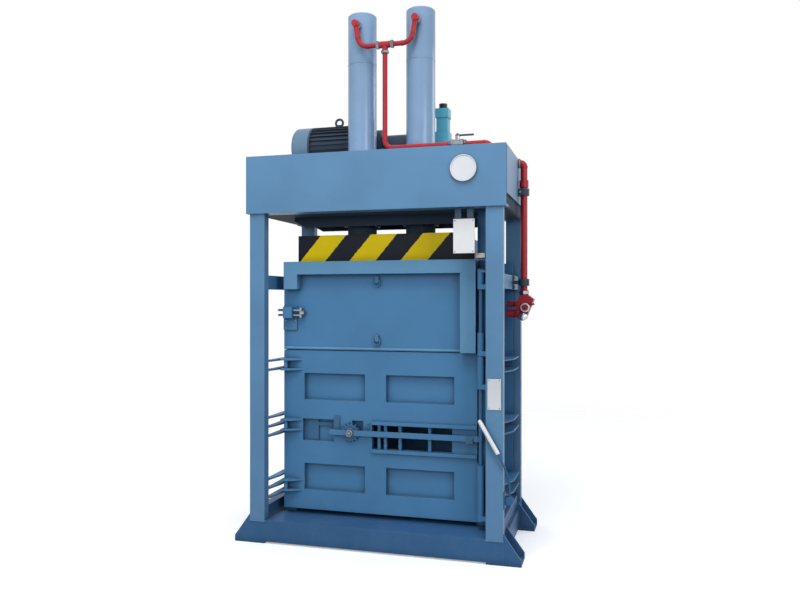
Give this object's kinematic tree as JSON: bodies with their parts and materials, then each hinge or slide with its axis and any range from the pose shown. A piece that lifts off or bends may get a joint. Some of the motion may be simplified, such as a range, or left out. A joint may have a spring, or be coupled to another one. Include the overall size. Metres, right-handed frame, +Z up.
{
  "type": "baling press",
  "caption": "Upright hydraulic baling press: post frame with a head, twin rams, a platen, a bale chamber with upper and lower doors, a motor pump unit and pipes.",
  "frame": {"origin": "on the floor, in the middle of the anchor holes in the feet", "axes": "+Z up along the rams, +X to the right seen from the front, the doors face -Y"},
  "size_m": [1.8311, 0.936, 3.41],
  "materials": {
    "frame_paint": "satin blue-grey paint, scuffed at the edges",
    "pale_paint": "satin blue-grey paint",
    "door_paint": "satin blue-grey paint",
    "stripe_paint": "yellow and black slanting stripes, gloss paint",
    "pipe_paint": "gloss red paint",
    "bright_steel": "bright turned steel",
    "motor_black": "dark satin paint on cast iron",
    "cover_paint": "grey-blue satin paint on pressed sheet",
    "valve_paint": "teal satin paint with a black cap",
    "white_plate": "white gloss paint on sheet",
    "grip_plastic": "white plastic sleeve"
  },
  "bodies": {
    "frame": {"base_front": "frame_paint", "base_rear": "frame_paint", "base_left": "frame_paint", "base_right": "frame_paint", "base_deck": "frame_paint", "feet": "frame_paint", "post_front_left": "pale_paint", "post_front_right": "pale_paint", "post_rear_left": "pale_paint", "post_rear_right": "pale_paint", "head_front": "pale_paint", "head_rear": "pale_paint", "head_ends": "pale_paint", "head_top": "pale_paint", "cylinder_bed": "pale_paint", "oil_tank": "frame_paint", "left_wall": "door_paint", "right_wall": "door_paint", "rear_wall": "door_paint", "left_ribs": "door_paint", "right_ribs": "door_paint", "rear_ribs": "door_paint", "tie_lugs": "door_paint", "hinge_column": "door_paint", "hinge_rod": "bright_steel", "cylinder_left": "pale_paint", "cylinder_right": "pale_paint", "gland_left": "frame_paint", "gland_right": "frame_paint", "sign_plate": "white_plate", "post_plate": "white_plate", "round_plate": "white_plate", "motor_frame": "motor_black", "motor_fan_cover": "cover_paint", "motor_terminal_box": "motor_black", "pump": "motor_black", "valve_block": "bright_steel", "solenoid_valve": "valve_paint", "pipe_bridge": "pipe_paint", "pipe_side": "pipe_paint", "pipe_clamps": "motor_black", "shutoff_valve": "bright_steel", "hand_valve": "pipe_paint", "ejector_bracket": "frame_paint"},
    "platen": {"platen": "frame_paint", "hazard_board": "stripe_paint", "rod_left": "bright_steel", "rod_right": "bright_steel"},
    "upper_door": {"upper_door": "door_paint", "upper_door_frame": "door_paint", "latch_body": "door_paint"},
    "latch_bolt": {"latch_bolt": "bright_steel"},
    "lower_door": {"lower_door": "door_paint", "lock_gear": "bright_steel"},
    "lock_lever": {"lock_lever": "door_paint"},
    "ejector_lever": {"ejector_lever": "frame_paint", "ejector_grip": "grip_plastic"},
    "hand_valve_lever": {"hand_valve_lever": "pipe_paint"},
    "shutoff_handle": {"shutoff_handle": "motor_black"},
    "motor_rotor": {"motor_rotor": "bright_steel"}
  },
  "joints": [
    {"name": "platen_slide", "type": "slide", "parent": "frame", "child": "platen", "axis": [0, 0, -1], "range_m": [0, 1]},
    {"name": "upper_door_hinge", "type": "hinge", "parent": "frame", "child": "upper_door", "pos_m": [0.644, -0.275, 1.49], "axis": [0, 0, 1], "range_deg": [0, 90]},
    {"name": "latch_slide", "type": "slide", "parent": "upper_door", "child": "latch_bolt", "axis": [1, 0, 0], "range_m": [-0.045, 0.03]},
    {"name": "lower_door_hinge", "type": "hinge", "parent": "frame", "child": "lower_door", "pos_m": [0.644, -0.275, 0.69], "axis": [0, 0, 1], "range_deg": [0, 90]},
    {"name": "lock_lever_lift", "type": "hinge", "parent": "lower_door", "child": "lock_lever", "pos_m": [-0.20209, -0.244, 0.685], "axis": [0, -1, 0], "range_deg": [0, 30]},
    {"name": "ejector_pull", "type": "hinge", "parent": "frame", "child": "ejector_lever", "pos_m": [0.832, -0.406, 0.37], "axis": [0, 1, 0], "range_deg": [0, 60]},
    {"name": "hand_valve_turn", "type": "hinge", "parent": "frame", "child": "hand_valve_lever", "pos_m": [0.866, 0.066, 1.48], "axis": [0, -1, 0], "range_deg": [0, 90]},
    {"name": "shutoff_turn", "type": "hinge", "parent": "frame", "child": "shutoff_handle", "pos_m": [0.475, -0.141, 2.554], "axis": [0, 0, 1], "range_deg": [0, 90]},
    {"name": "motor_spin", "type": "hinge", "parent": "frame", "child": "motor_rotor", "pos_m": [-0.455, 0.247, 2.6], "axis": [1, 0, 0], "continuous": true}
  ]
}
